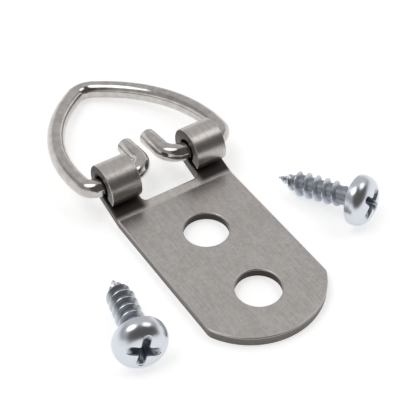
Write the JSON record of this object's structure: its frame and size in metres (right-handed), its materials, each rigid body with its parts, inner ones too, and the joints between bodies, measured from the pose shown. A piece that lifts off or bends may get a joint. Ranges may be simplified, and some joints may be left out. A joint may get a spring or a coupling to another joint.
{
  "type": "d ring picture hanger",
  "caption": "Sheet steel strap with two screw holes, a swinging wire ring held in two knuckles rolled at its end, and two loose pan head screws.",
  "frame": {"origin": "on the flat back face of the strap, midway between the two screw holes", "axes": "+Y along the strap towards the ring, +X across the strap, +Z out of the front face"},
  "size_m": [0.0362, 0.0462, 0.0062],
  "materials": {
    "satin_nickel": "satin nickel plate",
    "bright_nickel": "bright nickel plate",
    "zinc_plate": "bluish white zinc plate"
  },
  "bodies": {
    "strap": {"strap_plate": "satin_nickel"},
    "ring": {"d_ring": "bright_nickel"},
    "left_screw": {"screw_left": "zinc_plate"},
    "right_screw": {"screw_right": "zinc_plate"}
  },
  "joints": [
    {"name": "ring_swing", "type": "hinge", "parent": "strap", "child": "ring", "pos_m": [0, 0.0149, 0.00364], "axis": [1, 0, 0], "range_deg": [0, 191]},
    {"name": "left_screw_lift", "type": "slide", "parent": "strap", "child": "left_screw", "axis": [0, 0, 1], "range_m": [0, 0.03]},
    {"name": "right_screw_lift", "type": "slide", "parent": "strap", "child": "right_screw", "axis": [0, 0, 1], "range_m": [0, 0.03]}
  ]
}
